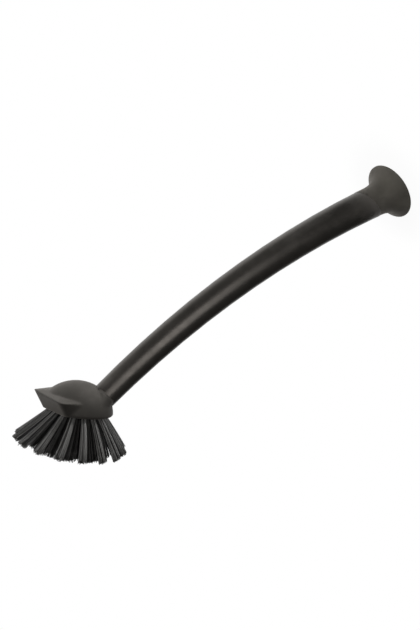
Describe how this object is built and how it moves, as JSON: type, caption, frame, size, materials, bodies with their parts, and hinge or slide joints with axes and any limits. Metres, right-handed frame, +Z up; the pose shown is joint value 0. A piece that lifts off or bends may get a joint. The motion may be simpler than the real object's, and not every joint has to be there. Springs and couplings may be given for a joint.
{
  "type": "dish brush",
  "caption": "Dish brush with a bowed round handle, a domed head with a scraper beak and fanned bristle tufts, and a suction cup foot that it stands on.",
  "frame": {"origin": "centre of the suction cup's sealing rim, on the surface that the brush stands on", "axes": "+Z up from the rim towards the head; the bristles face -X and the dome faces +X; the brush is the same on both sides of the XZ plane"},
  "size_m": [0.0614, 0.0654, 0.2771],
  "materials": {
    "cup_rubber": "matte",
    "handle_plastic": "satin",
    "head_plastic": "fine texture",
    "anchor_steel": "drawn wire",
    "bristle_nylon": "satin filament"
  },
  "bodies": {
    "root": {"suction_cup": "cup_rubber", "handle": "handle_plastic", "brush_head": "head_plastic", "tuft_anchors": "anchor_steel", "tuft_outer_01": "bristle_nylon", "tuft_outer_02": "bristle_nylon", "tuft_outer_03": "bristle_nylon", "tuft_outer_04": "bristle_nylon", "tuft_outer_05": "bristle_nylon", "tuft_outer_06": "bristle_nylon", "tuft_outer_07": "bristle_nylon", "tuft_outer_08": "bristle_nylon", "tuft_outer_09": "bristle_nylon", "tuft_outer_10": "bristle_nylon", "tuft_outer_11": "bristle_nylon", "tuft_outer_12": "bristle_nylon", "tuft_outer_13": "bristle_nylon", "tuft_outer_14": "bristle_nylon", "tuft_outer_15": "bristle_nylon", "tuft_outer_16": "bristle_nylon", "tuft_middle_01": "bristle_nylon", "tuft_middle_02": "bristle_nylon", "tuft_middle_03": "bristle_nylon", "tuft_middle_04": "bristle_nylon", "tuft_middle_05": "bristle_nylon", "tuft_middle_06": "bristle_nylon", "tuft_middle_07": "bristle_nylon", "tuft_middle_08": "bristle_nylon", "tuft_middle_09": "bristle_nylon", "tuft_middle_10": "bristle_nylon", "tuft_inner_01": "bristle_nylon", "tuft_inner_02": "bristle_nylon", "tuft_inner_03": "bristle_nylon", "tuft_inner_04": "bristle_nylon", "tuft_inner_05": "bristle_nylon"}
  },
  "joints": []
}
